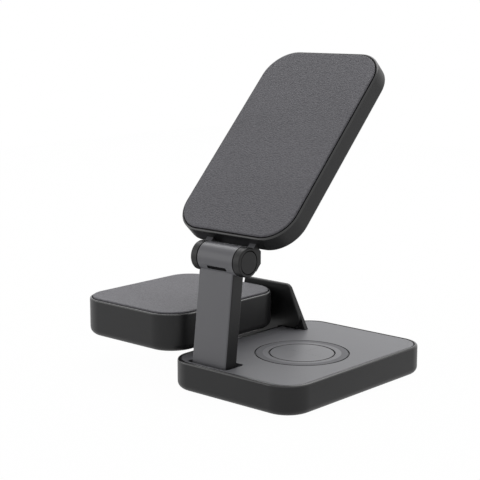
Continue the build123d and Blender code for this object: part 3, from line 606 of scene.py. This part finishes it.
arm = {"edgeMm": 0.2, "edgeSteps": 2, "edgeAngle": 50, "clamp": False, "shadeAngle": 35, "sideFacing": 0.75,
       "slitRoom": 0.6, "barrelSkin": 0.03}
bracket = {"edgeMm": 0.2, "edgeSteps": 2, "edgeAngle": 50, "clamp": False, "shadeAngle": 35}


def makeArm():
    piece = bevelledCopy("arm_front_shell", "armShell", arm, finishes["arm"])
    piece.data.materials.append(finishes["shell"])
    room = Vector([arm["slitRoom"] * mm] * 3)
    slitLow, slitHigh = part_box("indicator_lens")
    slitLow -= room
    slitHigh += room
    low, high = localBox("arm_front_shell", armPlace)
    barrel = high.z - (armHead - armFoot).length - arm["barrelSkin"] * mm
    # The arm's sides take the dark shell plastic; faces in the indicator's slit that lie below the barrel's face
    # take it too, as painted shade in the slit
    for face in piece.data.polygons:
        inSlit = all(slitLow[k] < face.center[k] < slitHigh[k] for k in range(3))
        if abs(face.normal.x) > arm["sideFacing"] or inSlit and (face.center - armHead).yz.length < barrel:
            face.material_index = 1
    standFor(piece, "arm", "shell_plastic", "arm_front_shell")
    piece = bevelledCopy("arm_back_cover", "armBackCover", arm, finishes["shell"])
    standFor(piece, "arm", "shell_plastic", "arm_back_cover")


def makeBracket():
    piece = bevelledCopy("bracket_body", "pivotBracket", bracket, finishes["shell"])
    standFor(piece, "base", "shell_plastic", "bracket_body")


makeArm()
makeBracket()
print("arm and bracket")


# Phone pad

phone = {
    "corner": 15.5, "rim": 1.0, "wall": 3.4, "floor": 1.6, "backRound": 1.6, "rimRound": 0.7, "lipRound": 0.15,
    "seatDeep": 1.4, "inner": 11.0, "sheetInset": 1.45, "sheetRoll": 0.6, "sheetInner": 8.0, "rimFacing": 0.15,
}
fork = {"edgeMm": 0.2, "edgeSteps": 2, "edgeAngle": 50, "clamp": True, "shadeAngle": 35, "lugFacing": 0.5,
        "lugFrom": 6.0}
caps = {"edgeMm": 0.25, "edgeSteps": 2, "edgeAngle": 50, "clamp": True, "shadeAngle": 35}


# Tray of a pad, with the section that both pads share
def padTray(name, nodeName, place, settings):
    low, high = localBox(nodeName, place)
    bottom = low.z / mm
    top = high.z / mm
    seat = top - settings["seatDeep"]
    floor = bottom + settings["floor"]
    section = roundedSection([
        (settings["inner"], bottom, 0),
        (0, bottom, settings["backRound"]),
        (0, top, settings["rimRound"]),
        (settings["rim"], top, settings["lipRound"]),
        (settings["rim"], seat, 0),
        (settings["wall"], seat, 0),
        (settings["wall"], floor, 0),
        (settings["inner"], floor, 0),
    ], closed=False)
    middle = (low + high) / 2
    size = ((high.x - low.x) / mm, (high.y - low.y) / mm, settings["corner"])
    return sweptPiece(name, size, section, False, finishes["shell"],
                      place @ Matrix.Translation((middle.x, middle.y, 0)))


# Leather sheet with its edge rolled down into the groove
def faceSheet(name, nodeName, place, settings, skin):
    low, high = localBox(nodeName, place)
    corner = settings["corner"] - settings["sheetInset"]
    bottom = low.z / mm
    top = high.z / mm
    section = roundedSection([
        (settings["sheetInner"], bottom, 0), (0, bottom, 0), (0, top, settings["sheetRoll"]),
        (settings["sheetInner"], top, 0),
    ], closed=False)
    middle = (low + high) / 2
    size = ((high.x - low.x) / mm, (high.y - low.y) / mm, corner)
    return sweptPiece(name, size, section, False, skin, place @ Matrix.Translation((middle.x, middle.y, 0)))


def makePhonePad():
    piece = padTray("phoneTray", "phone_rear_shell", phonePlace, phone)
    polishRim(piece, "phone_rear_shell", phonePlace, phone)
    standFor(smoothShade(piece, 40), "phone_pad", "shell_plastic", "phone_rear_shell")
    piece = faceSheet("phoneFace", "phone_face_sheet", phonePlace, phone, finishes["leather"])
    standFor(smoothShade(piece, 50), "phone_pad", "face_leather", "phone_face_sheet")
    piece = bevelledCopy("phone_hinge_fork", "hingeFork", fork, finishes["shell"])
    # The lugs' front faces take the arm's lacquer, the copy darkened as painted shade
    piece.data.materials.append(finishes["arm"])
    back = phonePlace.inverted()
    facing = phonePlace.to_3x3().col[2]
    for face in piece.data.polygons:
        if face.normal.dot(facing) > fork["lugFacing"] and (back @ face.center).y > fork["lugFrom"] * mm:
            face.material_index = 1
    standFor(piece, "phone_pad", "hinge_metal", "phone_hinge_fork")
    piece = bevelledCopy("hinge_end_caps", "hingeCaps", caps, finishes["shell"])
    standFor(piece, "phone_pad", "hinge_metal", "hinge_end_caps")


makePhonePad()
print("phone pad")


# Side pad

side = {
    "corner": 14.5, "rim": 1.0, "wall": 3.4, "floor": 2.2, "backRound": 3.4, "rimRound": 0.7, "lipRound": 0.15,
    "seatDeep": 1.4, "inner": 9.0, "sheetInset": 1.45, "sheetRoll": 0.6, "sheetInner": 6.0, "hubRadius": 6.0,
    "hubLong": 11.0, "hubInner": 3.0, "rimFacing": 0.15,
}


def makeSidePad():
    piece = padTray("sideTray", "side_shell", basePlace, side)
    pivot = Vector(joints["side_tilt"]["pos_m"])
    low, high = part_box("side_shell")
    hub = roundedSection([
        (side["hubInner"], -side["hubLong"], 0), (0, -side["hubLong"], 0), (0, 0, 0), (side["hubInner"], 0, 0),
    ], closed=False)
    facing = Matrix.Translation((pivot.x, high.y, pivot.z)) @ Matrix.Rotation(math.radians(-90), 4, "X")
    size = (2 * side["hubRadius"], 2 * side["hubRadius"], side["hubRadius"] - roundSpare)
    piece = combine(piece, sweptPiece("hub", size, hub, False, finishes["shell"], facing), "UNION")
    polishRim(piece, "side_shell", basePlace, side)
    standFor(smoothShade(piece, 40), "side_pad", "shell_plastic", "side_shell")
    piece = faceSheet("sideFace", "side_face_sheet", basePlace, side, finishes["leather"])
    standFor(smoothShade(piece, 50), "side_pad", "face_leather", "side_face_sheet")


makeSidePad()
print("side pad")


# Screws on the backs of arm and phone pad

screw = {"headRadius": 1.9, "shankRadius": 1.0, "headHigh": 1.1, "shankLong": 1.6, "driveRadius": 0.75,
         "driveDeep": 0.55}


# Tree: a countersunk screw with a hexagon drive on every point
def screwTree():
    tree = bpy.data.node_groups.new("sunkScrews", "GeometryNodeTree")
    face = tree.interface
    face.new_socket("Places", in_out="INPUT", socket_type="NodeSocketGeometry")
    for name in ("Head Radius", "Shank Radius", "Head High", "Shank Long", "Drive Radius", "Drive Deep"):
        face.new_socket(name, in_out="INPUT", socket_type="NodeSocketFloat")
    face.new_socket("Skin", in_out="INPUT", socket_type="NodeSocketMaterial")
    face.new_socket("Mesh", in_out="OUTPUT", socket_type="NodeSocketGeometry")
    given = addNode(tree, "NodeGroupInput").outputs
    head = addNode(tree, "GeometryNodeMeshCone", values={"Vertices": 32},
                   links={"Radius Top": given["Head Radius"], "Radius Bottom": given["Shank Radius"],
                          "Depth": given["Head High"]})
    headDrop = addNode(tree, "ShaderNodeMath", operation="MULTIPLY", links={0: given["Head High"]},
                       values={1: -1.0})
    headAt = addNode(tree, "ShaderNodeCombineXYZ", links={"Z": headDrop.outputs[0]})
    headSet = addNode(tree, "GeometryNodeTransform",
                      links={"Geometry": head.outputs["Mesh"], "Translation": headAt.outputs["Vector"]})
    drive = addNode(tree, "GeometryNodeMeshCylinder", values={"Vertices": 6},
                    links={"Radius": given["Drive Radius"], "Depth": given["Drive Deep"]})
    socket = addNode(tree, "GeometryNodeMeshBoolean", operation="DIFFERENCE", solver="EXACT",
                     links={"Mesh 1": headSet.outputs["Geometry"], "Mesh 2": drive.outputs["Mesh"]})
    shank = addNode(tree, "GeometryNodeMeshCylinder", values={"Vertices": 24},
                    links={"Radius": given["Shank Radius"], "Depth": given["Shank Long"]})
    half = addNode(tree, "ShaderNodeMath", operation="MULTIPLY", links={0: given["Shank Long"]},
                   values={1: -0.5})
    drop = addNode(tree, "ShaderNodeMath", operation="ADD",
                   links={0: headDrop.outputs[0], 1: half.outputs[0]})
    shankAt = addNode(tree, "ShaderNodeCombineXYZ", links={"Z": drop.outputs[0]})
    shankSet = addNode(tree, "GeometryNodeTransform",
                       links={"Geometry": shank.outputs["Mesh"], "Translation": shankAt.outputs["Vector"]})
    whole = addNode(tree, "GeometryNodeJoinGeometry")
    tree.links.new(shankSet.outputs["Geometry"], whole.inputs[0])
    tree.links.new(socket.outputs["Mesh"], whole.inputs[0])
    points = addNode(tree, "GeometryNodeMeshToPoints", links={"Mesh": given["Places"]})
    spread = addNode(tree, "GeometryNodeInstanceOnPoints",
                     links={"Points": points.outputs["Points"], "Instance": whole.outputs["Geometry"]})
    real = addNode(tree, "GeometryNodeRealizeInstances", links={"Geometry": spread.outputs["Instances"]})
    dressed = addNode(tree, "GeometryNodeSetMaterial",
                      links={"Geometry": real.outputs["Geometry"], "Material": given["Skin"]})
    addNode(tree, "NodeGroupOutput", links={"Mesh": dressed.outputs["Geometry"]})
    return tree


screws = screwTree()


# Screws of one node, whose heads lie in the plane of the given frame and point along its Z
def makeScrews(name, nodeName, place, body):
    low, high = localBox(nodeName, place)
    spots = [(p.x, p.y, high.z) for p in solidMiddles(nodeName, place)]
    mesh = bpy.data.meshes.new(name)
    mesh.from_pydata(spots, [], [])
    piece = addObject(name, mesh)
    spread = piece.modifiers.new("sunkScrews", "NODES")
    spread.node_group = screws
    sizes = {"Head Radius": "headRadius", "Shank Radius": "shankRadius", "Head High": "headHigh",
             "Shank Long": "shankLong", "Drive Radius": "driveRadius", "Drive Deep": "driveDeep"}
    for key, entry in sizes.items():
        setInput(spread, key, screw[entry] * mm)
    setInput(spread, "Skin", finishes["screw"])
    piece = bake(piece)
    piece.data.transform(place)
    standFor(smoothShade(piece, 35), body, "screw_steel", nodeName)


makeScrews("phoneHingeScrews", "phone_hinge_screws", phonePlace @ Matrix.Rotation(math.pi, 4, "X"), "phone_pad")
makeScrews("armBackScrews", "arm_back_screws", armPlace @ Matrix.Rotation(math.radians(-90), 4, "X"), "arm")
print("screws")


# Floor, light and camera

studio = {
    "floor": "#F4F4F3", "floorSize": 0.9, "floorWhite": 0.985, "worldLight": 0.5,
    "lamps": (
        {"name": "topSoftbox", "at": (-0.05, 0.50, 1.00), "size": 1.0, "power": 7.2},
        {"name": "leftSoftbox", "at": (-0.95, -0.75, 0.28), "size": 0.9, "power": 3.0},
        {"name": "rearSoftbox", "at": (-0.93, 0.46, 1.00), "size": 0.6, "power": 2.8},
    ),
}
camera = {
    "eye": (0.3698, -0.45596, 0.17567), "aim": (-0.02905, -0.00985, 0.06495), "lens": 96.35, "sensor": 36.0,
}


# What the eye, mirrors and glass see of the ground and the sky
def seenDirectly(tree):
    path = addNode(tree, "ShaderNodeLightPath").outputs
    mirror = addNode(tree, "ShaderNodeMath", operation="MAXIMUM",
                     links={0: path["Is Camera Ray"], 1: path["Is Glossy Ray"]})
    glass = addNode(tree, "ShaderNodeMath", operation="MAXIMUM",
                    links={0: mirror.outputs[0], 1: path["Is Transmission Ray"]})
    return glass.outputs[0]


def makeFloor():
    mesh = bpy.data.meshes.new("floor")
    bm = bmesh.new()
    bmesh.ops.create_grid(bm, x_segments=2, y_segments=2, size=studio["floorSize"])
    bmesh.ops.translate(bm, verts=bm.verts, vec=(0, 0, -0.1 * mm))
    bm.to_mesh(mesh)
    bm.free()
    floor = addObject("floor", mesh)
    material = bpy.data.materials.new("paleFloor")
    material.use_nodes = True
    tree = material.node_tree
    tree.nodes.clear()
    paper = addNode(tree, "ShaderNodeBsdfDiffuse", values={"Color": linear(studio["floor"])})
    white = addNode(tree, "ShaderNodeEmission", values={"Strength": 1.0})
    share = addNode(tree, "ShaderNodeMath", operation="MULTIPLY", links={0: seenDirectly(tree)},
                    values={1: studio["floorWhite"]})
    mixed = addNode(tree, "ShaderNodeMixShader",
                    links={0: share.outputs[0], 1: paper.outputs[0], 2: white.outputs[0]})
    addNode(tree, "ShaderNodeOutputMaterial", links={"Surface": mixed.outputs[0]})
    mesh.materials.append(material)


def makeLight():
    world = bpy.data.worlds.new("studio")
    world.use_nodes = True
    tree = world.node_tree
    tree.nodes.clear()
    glow = addNode(tree, "ShaderNodeBackground", values={"Strength": studio["worldLight"]})
    white = addNode(tree, "ShaderNodeBackground", values={"Color": (1, 1, 1, 1), "Strength": 1.0})
    mixed = addNode(tree, "ShaderNodeMixShader",
                    links={0: seenDirectly(tree), 1: glow.outputs[0], 2: white.outputs[0]})
    addNode(tree, "ShaderNodeOutputWorld", links={"Surface": mixed.outputs[0]})
    scene.world = world
    for lamp in studio["lamps"]:
        light = bpy.data.lights.new(lamp["name"], "AREA")
        light.size = lamp["size"]
        light.energy = lamp["power"]
        holder = bpy.data.objects.new(lamp["name"], light)
        holder.location = lamp["at"]
        holder.rotation_euler = (-Vector(lamp["at"])).to_track_quat("-Z", "Y").to_euler()
        scene.collection.objects.link(holder)


def makeCamera():
    data = bpy.data.cameras.new("camera")
    data.lens = camera["lens"]
    data.sensor_width = camera["sensor"]
    data.clip_start = 0.01
    holder = bpy.data.objects.new("camera", data)
    eye = Vector(camera["eye"])
    holder.location = eye
    holder.rotation_euler = (Vector(camera["aim"]) - eye).to_track_quat("-Z", "Y").to_euler()
    scene.collection.objects.link(holder)
    scene.camera = holder


makeFloor()
makeLight()
makeCamera()
scene.view_settings.view_transform = "Standard"
print("studio")
